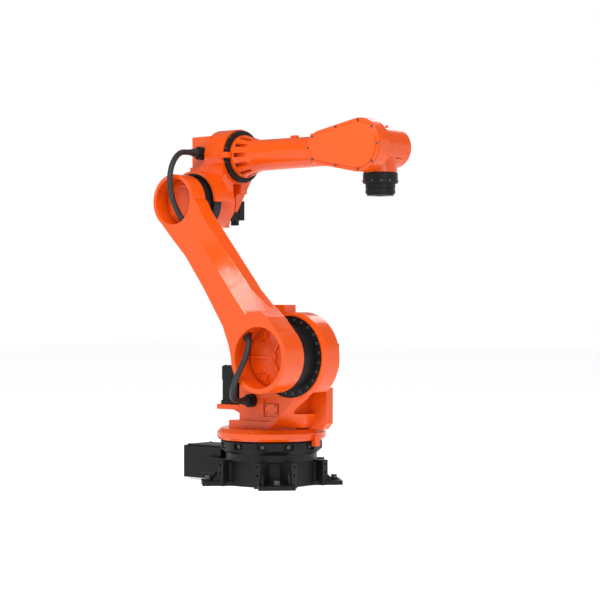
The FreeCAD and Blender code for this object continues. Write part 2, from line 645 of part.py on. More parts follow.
def forearm_tube():
    """A turned tube with a bolted root; oblong pockets between its ribs hold the bolts."""
    body = new_body("forearm_tube")
    root = "running_gap"
    cone_start = "flange_4_thick"
    revolve(body, [(root, "0"), (root, "flange_4_radius"), (cone_start, "flange_4_radius"),
                   ("root_long - 10", "tube_radius + 3"), ("root_long", "tube_radius"),
                   (f"{AXIS_5_X} - {RING_4_FACE} - tube_end", "tube_end_radius"),
                   (f"{AXIS_5_X} - {RING_4_FACE} - tube_end", "0")], "H_Axis")
    slot = [("flange_4_thick + 6", "-13"), ("root_long - 36", "-13"), ("root_long - 28", "-8"),
            ("root_long - 25", "0"), ("root_long - 28", "8"), ("root_long - 36", "13"),
            ("flange_4_thick + 6", "13")]
    sketch = body_sketch(body, "XY_Plane", slot, "flange_4_radius + 5")
    around(body, pocket(body, sketch, "flange_4_radius + 5 - tube_radius - 1"), "X_Axis", 12)
    put(body, (RING_4_FACE, "0", AXIS_4_Z))


def egg(inset, near, far):
    """The outline of the wrist drive: a large round end, a small one and two tangent sides."""
    small_x = f"({AXIS_5_X} - slab_length)"
    big = cylinder(f"boss_radius - ({inset})", f"{near} - ({far})",
                   (AXIS_5_X, f"-({near})", AXIS_4_Z), "Y")
    small = cylinder(f"slab_small_radius - ({inset})", f"{near} - ({far})",
                     (small_x, f"-({near})", AXIS_4_Z), "Y")
    lean = "asin((boss_radius - slab_small_radius) / slab_length)"
    big_r = f"(boss_radius - ({inset}))"
    small_r = f"(slab_small_radius - ({inset}))"
    side = [(f"{small_x} - {small_r} * sin({lean})", f"{AXIS_4_Z} + {small_r} * cos({lean})"),
            (f"{AXIS_5_X} - {big_r} * sin({lean})", f"{AXIS_4_Z} + {big_r} * cos({lean})"),
            (f"{AXIS_5_X} - {big_r} * sin({lean})", f"{AXIS_4_Z} - {big_r} * cos({lean})"),
            (f"{small_x} - {small_r} * sin({lean})", f"{AXIS_4_Z} - {small_r} * cos({lean})")]
    middle = prism(side, "XZ", f"-({near})", f"{near} - ({far})")
    return fuse(big, small, middle)


def wrist_housing():
    slab = egg("0", "slab_near", "slab_far")
    start = f"({AXIS_5_X} - tube_end)"
    stub = cylinder("tube_end_radius", "tube_end - bridge_end - 12", (start, "0", AXIS_4_Z), "X")
    bridge_side = [(start, f"{AXIS_4_Z} - tube_end_radius + 4"),
                   (f"{AXIS_5_X} - bridge_end", f"{AXIS_4_Z} - tube_end_radius + 4"),
                   (f"{AXIS_5_X} - bridge_end", f"{AXIS_4_Z} + tube_end_radius - 4"),
                   (start, f"{AXIS_4_Z} + tube_end_radius - 4")]
    bridge = prism(bridge_side, "XZ", "-slab_near + 20", "slab_near - 20")
    node("wrist_housing", fuse(slab, stub, bridge))


def wrist_covers():
    flange = egg("cover_inset", "slab_near + cover_flange", "slab_near")
    bulge = egg("bulge_inset", "slab_near + cover_thick", "slab_near + cover_flange - 1")
    node("wrist_cover", fuse(flange, bulge))
    block = box((f"{RING_4_FACE} + 370", "-14", f"{AXIS_4_Z} + tube_radius - 8"),
                ("44", "28", "18"))
    run = f"{AXIS_5_X} - {RING_4_FACE} - tube_end - root_long"
    bed = cone("tube_radius + fit_gap", "tube_end_radius + fit_gap", run,
               (f"{RING_4_FACE} + root_long", "0", AXIS_4_Z), "X")
    node("tube_block", cut(block, bed))


# ---- Wrist and tool flange -------------------------------------------------------------

def wrist_pieces():
    drum = cylinder("drum_radius", "drum_near + drum_far", (AXIS_5_X, "-drum_near", AXIS_4_Z), "Y")
    journal = cylinder("drum_radius - 26", "slab_far - running_gap - drum_near + 2",
                       (AXIS_5_X, "-slab_far + running_gap", AXIS_4_Z), "Y")
    neck = cylinder("neck_radius", "neck_drop", (AXIS_5_X, "0", AXIS_4_Z), "-Z")
    node("wrist_body", fuse(drum, journal, neck))
    rim = cylinder("drum_radius", "cap_thick - 12", (AXIS_5_X, "drum_far", AXIS_4_Z), "Y")
    crown = cone("drum_radius", "drum_radius - 12", "12",
                 (AXIS_5_X, "drum_far + cap_thick - 12", AXIS_4_Z), "Y")
    node("wrist_end_cap", fuse(rim, crown))
    plug = cylinder("9", "18", (AXIS_5_X, "60", f"{AXIS_4_Z} + drum_radius - 4"), "Z")
    bed = cylinder("drum_radius + fit_gap", "60", (AXIS_5_X, "30", AXIS_4_Z), "Y")
    node("wrist_plug", cut(plug, bed))
    ring = cylinder("ring_6_radius", "ring_6_thick",
                    (AXIS_5_X, "0", f"{AXIS_4_Z} - neck_drop"), "-Z")
    node("axis_6_ring", ring)


def tool_flange():
    """The turning flange, drawn with its tool face at the origin and looking up."""
    body = new_body("tool_flange")
    top = "tool_drop - neck_drop - ring_6_thick - running_gap"
    groove = f"({top}) / 2"
    revolve(body, [("0", "0"), ("tool_face_radius", "0"), ("tool_face_radius", "tool_face_thick"),
                   ("tool_radius", "tool_face_thick"), ("tool_radius", groove),
                   ("tool_radius - 5", groove), ("tool_radius - 5", f"{groove} + 6"),
                   ("tool_radius", f"{groove} + 6"), ("tool_radius", top), ("0", top)], "V_Axis")
    centre = round_sketch(body, "XY_Plane", "tool_bore_radius", ("0", "0"))
    pocket(body, centre, "tool_bore_depth", upwards=True)
    bolt = round_sketch(body, "XY_Plane", "tool_bolt_radius", ("tool_bolt_ring", "0"))
    around(body, pocket(body, bolt, "18", upwards=True), "Z_Axis", 6)
    put(body, (AXIS_5_X, "0", f"{AXIS_4_Z} - tool_drop"))


# ---- Hoses -----------------------------------------------------------------------------
# Each hose runs from its gland to a bore in the link arm. Its corners are set from the gland
# and from the axis it crosses, and its last run lies along the bore.

def from_axis(axis_x, axis_z, offsets):
    """Corners of a hose, given across and up from an axis and in Y from the centre plane."""
    return [(f"{axis_x} + ({x})", str(y), f"{axis_z} + ({z})") for x, y, z in offsets]


def gland_run(at, face, length):
    """The first two corners, straight out of a gland along -Y."""
    mouth = f"{face} - gland_long"
    return [(at[0], mouth, at[1]), (at[0], f"{mouth} - {length}", at[1])]


LOWER_GLAND = ("gland_1_x", "gland_1_z")
UPPER_GLAND = (f"{AXIS_3_X} - 48", f"{AXIS_4_Z} + 22")
LOWER_HOSE = gland_run(LOWER_GLAND, "-column_half", 80) + from_axis(AXIS_2_X, AXIS_2_Z, [
    (-244, -372, -239), (-184, -446, -189), (-128, -472, -115), (-90, -458, -33),
    (-84, -420, 43), (-109, -388, 99), (-153, -380, 160), (-200, -380, 225)])
UPPER_HOSE = gland_run(UPPER_GLAND, "-rear_half", 80) + from_axis(AXIS_3_X, AXIS_3_Z, [
    (-24, -350, 293), (-4, -430, 235), (6, -470, 148), (8, -463, 48),
    (14, -422, -47), (42, -385, -123), (90, -380, -189)])


def value(text):
    return float(sheet.evalExpression(bound(text)))


def hose(label, corners):
    """A round tube of straight runs joined by arcs as large as the runs allow."""
    points = [FreeCAD.Vector(*map(value, corner)) for corner in corners]
    edges = []
    start = points[0]
    for before, corner, after in zip(points, points[1:], points[2:]):
        way_in = (corner - before).normalize()
        way_out = (after - corner).normalize()
        half_turn = way_in.getAngle(way_out) / 2
        reach = 0.45 * min((corner - before).Length, (after - corner).Length)
        arc_start = corner - way_in * reach
        arc_end = corner + way_out * reach
        radius = reach / math.tan(half_turn)
        print(f"{label}: run {(after - corner).Length:.0f}, arc radius {radius:.0f}")
        outward = (way_in - way_out).normalize()
        middle = corner - outward * (radius / math.cos(half_turn) - radius)
        edges.append(Part.LineSegment(start, arc_start).toShape())
        edges.append(Part.Arc(arc_start, middle, arc_end).toShape())
        start = arc_end
    edges.append(Part.LineSegment(start, points[-1]).toShape())
    path = Part.Wire(edges)
    radius = float(sheet.get("hose_radius"))
    section = Part.Wire([Part.makeCircle(radius, points[0], points[1] - points[0])])
    tube = doc.addObject("Part::Feature", label)
    tube.Shape = path.makePipeShell([section], True, False)
    expected = math.pi * radius ** 2 * path.Length
    print(f"{label}: length {path.Length:.0f}, volume ratio {tube.Shape.Volume / expected:.4f}")
    node(label, tube)


# ---- The whole arm ---------------------------------------------------------------------

base_casting()
base_ring()
connector_box()
turntable_disc()
column_casting()
turntable_trim()
turntable_motors()
gland("lower_cable_gland", LOWER_GLAND, "-column_half")
link_arm_casting()
hub_plates()
link_drives()
elbow_casting()
elbow_rings()
elbow_motors()
gland("upper_cable_gland", UPPER_GLAND, "-rear_half")
forearm_tube()
wrist_housing()
wrist_covers()
wrist_pieces()
tool_flange()
hose("lower_hose", LOWER_HOSE)
hose("upper_hose", UPPER_HOSE)
doc.recompute()

for thing in doc.Objects:
    if "Invalid" in thing.State or "Error" in thing.State:
        raise RuntimeError(f"{thing.Name} ({thing.Label}) did not compute")
for thing in sub_parts:
    if thing.Shape.isNull() or not thing.Shape.isValid():
        raise RuntimeError(f"{thing.Label} has no valid shape")

os.makedirs("parts", exist_ok=True)
for thing in sub_parts:
    thing.Shape.exportStep(f"parts/{thing.Label}.step")
print(f"{len(sub_parts)} sub-parts written")
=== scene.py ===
import json
import math

import bmesh
import bpy
from mathutils import Matrix, Vector


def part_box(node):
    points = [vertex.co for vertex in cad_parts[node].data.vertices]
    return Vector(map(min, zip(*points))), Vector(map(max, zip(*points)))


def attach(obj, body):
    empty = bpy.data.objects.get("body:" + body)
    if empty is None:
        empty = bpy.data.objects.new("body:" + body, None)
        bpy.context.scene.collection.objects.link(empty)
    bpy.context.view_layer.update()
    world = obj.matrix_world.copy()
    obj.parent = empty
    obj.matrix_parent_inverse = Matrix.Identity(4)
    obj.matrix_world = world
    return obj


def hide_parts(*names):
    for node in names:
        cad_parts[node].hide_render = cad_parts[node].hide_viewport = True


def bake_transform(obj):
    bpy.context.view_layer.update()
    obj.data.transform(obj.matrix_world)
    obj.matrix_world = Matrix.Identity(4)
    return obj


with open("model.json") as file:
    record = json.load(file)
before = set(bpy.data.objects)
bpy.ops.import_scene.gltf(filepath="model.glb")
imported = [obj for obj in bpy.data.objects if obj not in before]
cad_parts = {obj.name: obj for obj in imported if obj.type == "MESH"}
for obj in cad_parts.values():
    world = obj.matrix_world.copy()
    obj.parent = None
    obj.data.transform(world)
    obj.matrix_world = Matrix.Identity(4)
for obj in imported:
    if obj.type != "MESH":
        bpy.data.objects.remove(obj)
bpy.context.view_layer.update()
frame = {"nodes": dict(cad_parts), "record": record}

scene = bpy.context.scene

# Six-axis industrial robot arm, in metres. The forearm points along +X, +Z is up, and the
# link arm runs on the -Y side. Axes 2, 3 and 5 lie along Y, and axis 4 along X.

X = Vector((1, 0, 0))
Y = Vector((0, 1, 0))
Z = Vector((0, 0, 1))


# ---- Where things are ------------------------------------------------------------------

def middle(node):
    low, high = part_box(node)
    return (low + high) / 2


AXIS_2 = middle("axis_2_reducer")
AXIS_3 = middle("axis_3_reducer")
AXIS_4_Z = middle("axis_4_ring").z
AXIS_5_X = middle("axis_6_ring").x
HOUSING_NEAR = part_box("axis_2_housing_ring")[0].y


# ---- Camera ----------------------------------------------------------------------------

def camera():
    azimuth = math.radians(39.5)
    distance = 10.5
    beside = 0.168
    eye_height = 1.04
    way = Vector((-math.sin(azimuth), math.cos(azimuth), 0))
    right = Vector((math.cos(azimuth), math.sin(azimuth), 0))
    eye = right * beside - way * distance + Z * eye_height
    data = bpy.data.cameras.new("camera")
    data.sensor_width = 36
    data.lens = 107.1
    data.shift_y = 0.0117
    data.clip_end = 60
    holder = bpy.data.objects.new("camera", data)
    scene.collection.objects.link(holder)
    holder.location = eye
    holder.rotation_euler = way.to_track_quat("-Z", "Y").to_euler()
    scene.camera = holder


camera()


# ---- Cable hoses -----------------------------------------------------------------------

HOSE_RADIUS = 0.0165

LOWER_HOSE = [
    (-0.010, -0.210, 0.497), (-0.010, -0.290, 0.497), (0.026, -0.372, 0.516),
    (0.086, -0.446, 0.566), (0.142, -0.472, 0.640), (0.180, -0.458, 0.722),
    (0.186, -0.420, 0.798), (0.161, -0.388, 0.854), (0.117, -0.380, 0.915),
    (0.070, -0.380, 0.980)]

UPPER_HOSE = [
    (-0.433, -0.182, 1.958), (-0.433, -0.262, 1.958), (-0.409, -0.350, 1.950),
    (-0.389, -0.430, 1.892), (-0.379, -0.470, 1.805), (-0.377, -0.463, 1.705),
    (-0.371, -0.422, 1.610), (-0.343, -0.385, 1.534), (-0.295, -0.380, 1.468)]


def route_curve(name, points, bevel):
    """A smooth spline that has the route's points as its control points."""
    data = bpy.data.curves.new(name, "CURVE")
    data.dimensions = "3D"
    data.resolution_u = 14
    data.bevel_depth = bevel
    data.bevel_resolution = 6
    data.use_fill_caps = bevel > 0
    spline = data.splines.new("NURBS")
    spline.points.add(len(points) - 1)
    for place, point in zip(spline.points, points):
        place.co = (*point, 1)
    spline.order_u = 3
    spline.use_endpoint_u = True
    holder = bpy.data.objects.new(name, data)
    scene.collection.objects.link(holder)
    return holder


def curve_mesh(name, points, bevel):
    """The route's spline as a mesh: its centreline, or a tube where a bevel is given."""
    holder = route_curve(name + "_route", points, bevel)
    bpy.context.view_layer.update()
    evaluated = holder.evaluated_get(bpy.context.evaluated_depsgraph_get())
    mesh = bpy.data.meshes.new_from_object(evaluated)
    bpy.data.objects.remove(holder)
    return mesh


def hose(name, points):
    centreline = [vertex.co.copy() for vertex in curve_mesh(name, points, 0).vertices]
    tube = bpy.data.objects.new(name + "_tube", curve_mesh(name, points, HOSE_RADIUS))
    scene.collection.objects.link(tube)
    for face in tube.data.polygons:
        face.use_smooth = len(face.vertices) == 4
    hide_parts(name)
    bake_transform(tube)
    return tube


hoses = [
    hose("lower_hose", LOWER_HOSE),
    hose("upper_hose", UPPER_HOSE)]


# ---- Finishes --------------------------------------------------------------------------

def new_group(name, inputs, outputs):
    """A shader group with its input and output nodes; inputs are (name, kind, value)."""
    group = bpy.data.node_groups.new(name, "ShaderNodeTree")
    for label, kind, value in inputs:
        socket = group.interface.new_socket(label, in_out="INPUT", socket_type=kind)
        socket.default_value = value
    for label, kind in outputs:
        group.interface.new_socket(label, in_out="OUTPUT", socket_type=kind)
    return group, group.nodes.new("NodeGroupInput"), group.nodes.new("NodeGroupOutput")


def noise(tree, scale, detail, coordinates):
    node = tree.nodes.new("ShaderNodeTexNoise")
    node.inputs["Detail"].default_value = detail
    node.inputs["Roughness"].default_value = 0.55
    if isinstance(scale, (int, float)):
        node.inputs["Scale"].default_value = scale
    else:
        tree.links.new(scale, node.inputs["Scale"])
    tree.links.new(coordinates, node.inputs["Vector"])
    return node.outputs["Fac"]


def spread(tree, value, low, high, from_low=0.3, from_high=0.7):
    """Maps a mask's middle range on to low..high; either end may be a socket."""
    node = tree.nodes.new("ShaderNodeMapRange")
    tree.links.new(value, node.inputs["Value"])
    for label, end in (("From Min", from_low), ("From Max", from_high),
                       ("To Min", low), ("To Max", high)):
        if isinstance(end, (int, float)):
            node.inputs[label].default_value = end
        else:
            tree.links.new(end, node.inputs[label])
    return node.outputs["Result"]


def mix(tree, factor, first, second):
    node = tree.nodes.new("ShaderNodeMix")
    node.data_type = "RGBA"
    for socket, value in ((node.inputs[0], factor), (node.inputs[6], first),
                          (node.inputs[7], second)):
        if isinstance(value, bpy.types.NodeSocket):
            tree.links.new(value, socket)
        else:
            socket.default_value = value
    return node.outputs[2]


def maths(tree, operation, first, second):
    node = tree.nodes.new("ShaderNodeMath")
    node.operation = operation
    for socket, value in zip(node.inputs, (first, second)):
        if isinstance(value, bpy.types.NodeSocket):
            tree.links.new(value, socket)
        else:
            socket.default_value = value
    return node.outputs[0]


def enamel_group():
    """Sprayed enamel: slow colour drift, uneven gloss, and a fine orange-peel height."""
    group, given, result = new_group("sprayed_enamel", [
        ("Colour", "NodeSocketColor", (0.8, 0.2, 0.02, 1)),
        ("Shade", "NodeSocketColor", (0.6, 0.1, 0.01, 1)),
        ("Drift", "NodeSocketFloat", 0.3), ("Gloss Low", "NodeSocketFloat", 0.3),
        ("Gloss High", "NodeSocketFloat", 0.45), ("Peel Scale", "NodeSocketFloat", 260)],
        [("Colour", "NodeSocketColor"), ("Roughness", "NodeSocketFloat"),
         ("Height", "NodeSocketFloat")])
    place = group.nodes.new("ShaderNodeTexCoord").outputs["Object"]
    cloud = noise(group, 3.1, 3, place)
    amount = maths(group, "MULTIPLY", spread(group, cloud, 0, 1), given.outputs["Drift"])
    colour = mix(group, amount, given.outputs["Colour"], given.outputs["Shade"])
    smear = noise(group, 17, 4, place)
    rough = spread(group, smear, given.outputs["Gloss Low"], given.outputs["Gloss High"])
    peel = noise(group, given.outputs["Peel Scale"], 2, place)
    grain = noise(group, 60, 3, place)
    height = maths(group, "ADD", peel, maths(group, "MULTIPLY", grain, 0.6))
    for label, value in (("Colour", colour), ("Roughness", rough), ("Height", height)):
        group.links.new(value, result.inputs[label])
    return group


def up_face_tint_group():
    """A mask for a pale tint on faces that look up, thinned by noise."""
    group, given, result = new_group("up_face_pale_tint", [
        ("Amount", "NodeSocketFloat", 0.2), ("Scale", "NodeSocketFloat", 24)],
        [("Mask", "NodeSocketFloat")])
    place = group.nodes.new("ShaderNodeTexCoord").outputs["Object"]
    way = group.nodes.new("ShaderNodeSeparateXYZ")
    normal = group.nodes.new("ShaderNodeNewGeometry").outputs["Normal"]
    group.links.new(normal, way.inputs["Vector"])
    up = spread(group, way.outputs["Z"], 0, 1, 0.6, 1)
    thin = spread(group, noise(group, given.outputs["Scale"], 5, place), 0, 1, 0.42, 0.75)
    mask = maths(group, "MULTIPLY", maths(group, "MULTIPLY", up, thin), given.outputs["Amount"])
    group.links.new(mask, result.inputs["Mask"])
    return group


ENAMEL = enamel_group()
UP_FACE_TINT = up_face_tint_group()


def use_group(tree, group, values):
    node = tree.nodes.new("ShaderNodeGroup")
    node.node_tree = group
    for label, value in values.items():
        node.inputs[label].default_value = value
    return node


def new_material(name, viewport_colour, **constants):
    material = bpy.data.materials.new(name)
    material.use_nodes = True
    material.diffuse_color = viewport_colour
    shader = material.node_tree.nodes["Principled BSDF"]
    for label, value in constants.items():
        shader.inputs[label.replace("_", " ")].default_value = value
    return material, material.node_tree, shader


def bump(tree, shader, height, strength, distance):
    node = tree.nodes.new("ShaderNodeBump")
    node.inputs["Strength"].default_value = strength
    node.inputs["Distance"].default_value = distance
    tree.links.new(height, node.inputs["Height"])
    tree.links.new(node.outputs["Normal"], shader.inputs["Normal"])


def enamel(name, colour, shade, gloss, up_tint, peel=260, strength=0.25, **constants):
    """A painted finish: sprayed enamel, a little paler on faces that look up."""
    material, tree, shader = new_material(name, colour, **constants)
    paint = use_group(tree, ENAMEL, {
        "Colour": colour, "Shade": shade, "Drift": 0.5, "Gloss Low": gloss[0],
        "Gloss High": gloss[1], "Peel Scale": peel})
    # Faces that look up take a little pale grey-beige, thinned by noise.
    tint = use_group(tree, UP_FACE_TINT, {"Amount": up_tint})
    coloured = mix(tree, tint.outputs["Mask"], paint.outputs["Colour"], (0.62, 0.5, 0.42, 1))
    tree.links.new(coloured, shader.inputs["Base Color"])
    tree.links.new(paint.outputs["Roughness"], shader.inputs["Roughness"])
    bump(tree, shader, paint.outputs["Height"], strength, 0.0006)
    return material


def brushed_metal(name, colour, shade, rough, rings=None):
    """Machined or oiled metal with fine turning marks about an axis along Y."""
    material, tree, shader = new_material(name, colour, Metallic=0.75)
    place = tree.nodes.new("ShaderNodeTexCoord").outputs["Object"]
    smear = noise(tree, 30, 5, place)
    coloured = mix(tree, spread(tree, smear, 0, 1), colour, shade)
    tree.links.new(coloured, shader.inputs["Base Color"])
    tree.links.new(spread(tree, smear, rough - 0.08, rough + 0.12), shader.inputs["Roughness"])
    height = noise(tree, 420, 2, place)
    if rings:
        centre = tree.nodes.new("ShaderNodeMapping")
        centre.inputs["Location"].default_value = (-rings.x, 0, -rings.z)
        tree.links.new(place, centre.inputs["Vector"])
        wave = tree.nodes.new("ShaderNodeTexWave")
        wave.wave_type = "RINGS"
        wave.rings_direction = "Y"
        wave.inputs["Scale"].default_value = 90
        wave.inputs["Distortion"].default_value = 1.5
        tree.links.new(centre.outputs["Vector"], wave.inputs["Vector"])
        height = wave.outputs["Fac"]
    bump(tree, shader, height, 0.15, 0.0004)
    return material


ORANGE = enamel("orange_enamel", (0.75, 0.08, 0.001, 1), (0.68, 0.066, 0.001, 1),
                (0.2, 0.28), 0.02, Specular_IOR_Level=0.48)
BLACK = enamel("black_enamel", (0.006, 0.006, 0.007, 1), (0.01, 0.01, 0.011, 1),
               (0.36, 0.5), 0.02, peel=420, strength=0.3, Specular_IOR_Level=0.2)
RUBBER = enamel("hose_rubber", (0.012, 0.013, 0.015, 1), (0.02, 0.021, 0.023, 1),
                (0.52, 0.68), 0.04, peel=700, strength=0.4)
DARK_STEEL = brushed_metal("oiled_reducer_steel", (0.03, 0.03, 0.033, 1),
                           (0.018, 0.018, 0.02, 1), 0.45, AXIS_2)
SCREW_STEEL = brushed_metal("blackened_screws", (0.075, 0.075, 0.08, 1),
                            (0.12, 0.115, 0.11, 1), 0.35)

SLOT_FINISH = {"orange_paint": ORANGE, "black_paint": BLACK, "dark_metal": DARK_STEEL,
               "hose_rubber": RUBBER}


def paint(piece, material):
    piece.data.materials.clear()
    piece.data.materials.append(material)


for tube in hoses:
    paint(tube, RUBBER)


# ---- Castings --------------------------------------------------------------------------

def finish_mesh(name, bm, material, body):
    """Makes a piece of a bmesh, gives it its finish, and lets it ride on its body."""
    bmesh.ops.recalc_face_normals(bm, faces=bm.faces)
    mesh = bpy.data.meshes.new(name)
    bm.to_mesh(mesh)
    bm.free()
    piece = bpy.data.objects.new(name, mesh)
    scene.collection.objects.link(piece)
    mesh.shade_smooth()
    mesh.set_sharp_from_angle(angle=math.radians(32))
    paint(piece, material)
    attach(piece, body)
    return piece


def body_and_slot(node):
    record = frame["record"]
    for body, members in record["behaviour"]["bodies"].items():
        if node in members:
            break
    for row in record["subparts"]:
        if row["node"] == node:
            return body, row["material_slot"]
    raise ValueError(node)


def rounded(node, width):
    """A merged copy of a CAD casting with its sharp edges rounded; it stands for the node."""
    bm = bmesh.new()
    bm.from_mesh(frame["nodes"][node].data)
    bmesh.ops.remove_doubles(bm, verts=bm.verts, dist=0.00002)
    bmesh.ops.dissolve_limit(bm, angle_limit=math.radians(0.6), verts=bm.verts, edges=bm.edges,
                             use_dissolve_boundaries=False, delimit={"NORMAL"})
    body, slot = body_and_slot(node)
    piece = finish_mesh(node + "_rounded", bm, SLOT_FINISH[slot], body)
    edges = piece.modifiers.new("edges", "BEVEL")
    edges.width = width
    edges.segments = 3
    edges.limit_method = "ANGLE"
    edges.angle_limit = math.radians(34)
    edges.harden_normals = True
    edges.use_clamp_overlap = True
    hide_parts(node)


EDGE_WIDTHS = {
    "base_casting": 0.004, "base_ring": 0.003, "connector_box": 0.005, "connector_cover": 0.002,
    "column_casting": 0.006, "access_cover": 0.003, "stop_tab": 0.004, "lifting_lug": 0.006,
    "motor_shelf": 0.004, "axis_1_motor": 0.004, "axis_2_motor": 0.004, "axis_3_motor": 0.004,
    "axis_4_motor": 0.004, "axis_5_motor": 0.004, "axis_6_motor": 0.004,
    "lower_cable_gland": 0.003, "upper_cable_gland": 0.003, "link_arm_casting": 0.006,
    "lower_hub_plate": 0.003, "upper_hub_plate": 0.003, "axis_2_reducer": 0.002,
    "axis_3_reducer": 0.002, "elbow_casting": 0.006, "axis_3_ring": 0.002, "axis_4_ring": 0.003,
    "axis_4_stop": 0.004, "motor_plate": 0.003, "forearm_tube": 0.003, "tube_block": 0.003,
    "wrist_housing": 0.006, "wrist_cover": 0.011, "wrist_body": 0.005, "wrist_end_cap": 0.004,
    "wrist_plug": 0.002, "axis_6_ring": 0.003}

# The axis_3_ring is a dark ring in the gap round the axis-3 reducer: painted shade where that gap
# lies in shadow.
for casting, edge_width in EDGE_WIDTHS.items():
    rounded(casting, edge_width)

for row in frame["record"]["subparts"]:
    paint(frame["nodes"][row["node"]], SLOT_FINISH[row["material_slot"]])


# ---- Screws and small fittings ---------------------------------------------------------

NOTCH_RISE = 0.088
NOTCH_FLOOR = 0.280
FOOT_BOSS = 0.033
FOOT_BOLT_RING = 0.370
RING_SCREW_RADIUS = 0.211
LOWER_PLATE_Y = 0.307
UPPER_PLATE_Y = 0.342
ROOT_FLANGE = 0.016
ROOT_SCREW_RADIUS = 0.110
RING_4_RADIUS = 0.154
RING_6_RADIUS = 0.098
COVER_FLANGE = 0.006
COVER_LENGTH = 0.270
COVER_BIG = 0.149
COVER_SMALL = 0.096
COVER_SCREW_INSET = 0.013

def facing(at, along):
    """A frame at a place, with its own Z turned along a direction."""
    return Matrix.Translation(at) @ along.to_track_quat("Z", "Y").to_matrix().to_4x4()


def far_face(verts, along):
    faces = {face for vertex in verts for face in vertex.link_faces}
    face = max(faces, key=lambda one: one.calc_center_median().dot(along))
    face.normal_update()
    return face


def stud(bm, at, along, radius, height, segments):
    """A short prism standing on a face, with a small chamfer; gives back its top face."""
    verts = bmesh.ops.create_cone(
        bm, cap_ends=True, segments=segments, radius1=radius, radius2=radius, depth=height,
        matrix=facing(at, along) @ Matrix.Translation((0, 0, height / 2)))["verts"]
    top = far_face(verts, along)
    bmesh.ops.inset_individual(bm, faces=[top], thickness=radius * 0.12, depth=radius * 0.1)
    return top


def cap_head(bm, at, along, radius, height):
    """A socket-cap screw head with its round recess."""
    top = stud(bm, at, along, radius, height, 20)
    bmesh.ops.inset_individual(bm, faces=[top], thickness=radius * 0.32, depth=0)
    bmesh.ops.inset_individual(bm, faces=[top], thickness=radius * 0.04, depth=-height * 0.5)


def anchor_head(bm, at, along, radius, height):
    """A hexagon head on its washer."""
    stud(bm, at, along, radius * 1.2, height * 0.25, 28)
    stud(bm, at + along * height * 0.25, along, radius, height * 0.75, 6)


def screws(name, node, places, along, radius, height, head=cap_head, painted=False):
    """One set of equal screw heads; along is a direction, or gives one for each place."""
    bm = bmesh.new()
    for place in places:
        way = along if isinstance(along, Vector) else along(place)
        head(bm, place - way * 0.001, way, radius, height)
    finish, slot = (ORANGE, "orange_paint") if painted else (SCREW_STEEL, "dark_metal")
    return finish_mesh(name, bm, finish, body_and_slot(node)[0])


def spot(centre, radius, degrees, across, up):
    """The place on a circle at an angle from across towards up."""
    turn = math.radians(degrees)
    return centre + across * radius * math.cos(turn) + up * radius * math.sin(turn)


def circle(centre, radius, count, start, across, up):
    return [spot(centre, radius, start + 360 * step / count, across, up)
            for step in range(count)]


def outward(centre, axis):
    """The radial way out from an axis, as a function of the place."""
    def way(place):
        arm = place - centre
        return (arm - axis * arm.dot(axis)).normalized()
    return way


def turned_piece(name, profile, at, along, material, body):
    """A lathe-turned piece from (distance along, radius) pairs."""
    bm = bmesh.new()
    verts = [bm.verts.new((radius, 0, reach)) for reach, radius in profile]
    edges = [bm.edges.new(pair) for pair in zip(verts, verts[1:])]
    bmesh.ops.spin(bm, geom=verts + edges, cent=(0, 0, 0), axis=(0, 0, 1),
                   angle=2 * math.pi, steps=36, use_merge=True)
    bmesh.ops.transform(bm, matrix=facing(at, along), verts=bm.verts)
    return finish_mesh(name, bm, material, body)


def housing_screws():
    face = Vector((AXIS_2.x, HOUSING_NEAR, AXIS_2.z))
    screws("housing_ring_screws", "axis_2_housing_ring", circle(face, RING_SCREW_RADIUS, 24, 7, X, Z),
           -Y, 0.0085, 0.009)


def plate_screws(name, node, centre, plate_y, reach, around, radius):
    """Painted screws in three clusters on a hub plate, with one larger plug in each."""
    middle_of_plate = Vector((centre.x, -plate_y, centre.z))
    places = []
    for turn in around:
        places += [spot(middle_of_plate, reach, turn + step, X, Z)
                   for step in (-20, -10, 0, 10, 20)]
        places += [spot(middle_of_plate, reach - 0.024, turn + step, X, Z)
                   for step in (-14, 14)]
    screws(name, node, places, -Y, radius, 0.009, painted=True)
    plugs = [spot(middle_of_plate, reach - 0.040, turn + step, X, Z)
             for turn in around for step in (-9, 9)]
    screws(name + "_plugs", node, plugs, -Y, radius * 1.6, 0.006, painted=True)


def plate_ribs():
    """Three stout ribs that join at the middle of the lower hub plate."""
    bm = bmesh.new()
    hub = Vector((AXIS_2.x, -LOWER_PLATE_Y, AXIS_2.z))
    for turn in (60, 180, 300):
        way = spot(Vector(), 1, turn, X, Z)
        place = (Matrix.Translation(hub + way * 0.083 - Y * 0.006)
                 @ Matrix.Rotation(math.radians(-turn), 4, "Y"))
        bar = bmesh.ops.create_cube(bm, size=1, matrix=place @ Matrix.Diagonal(
            (0.146, 0.014, 0.017, 1)))["verts"]
        bmesh.ops.bevel(bm, geom=list({edge for vertex in bar for edge in vertex.link_edges}),
                        offset=0.003, segments=2, profile=0.5, affect="EDGES", material=-1)
    finish_mesh("lower_plate_ribs", bm, ORANGE, "link_arm")


def base_screws():
    notch = Z * (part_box("base_ring")[0].z + NOTCH_RISE)
    screws("bearing_ring_screws", "base_ring", circle(notch, NOTCH_FLOOR, 12, 0, X, Y),
           outward(Vector(), Z), 0.011, 0.012)
    screws("anchor_bolts", "base_casting", circle(Z * FOOT_BOSS, FOOT_BOLT_RING, 4, 45, X, Y),
           Z, 0.018, 0.020, anchor_head)
    low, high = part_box("connector_cover")
    rows = [Vector((x, y, high.z)) for x in (low.x + 0.012, middle("connector_cover").x,
                                             high.x - 0.012)
            for y in (low.y + 0.011, high.y - 0.011)]
    screws("connector_cover_screws", "connector_cover", rows, Z, 0.0055, 0.004)
    low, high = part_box("access_cover")
    rows = [Vector((x, low.y, z)) for x in (low.x + 0.011, high.x - 0.011)
            for z in (low.z + 0.011, high.z - 0.011)]
    screws("access_cover_screws", "access_cover", rows, -Y, 0.005, 0.004)


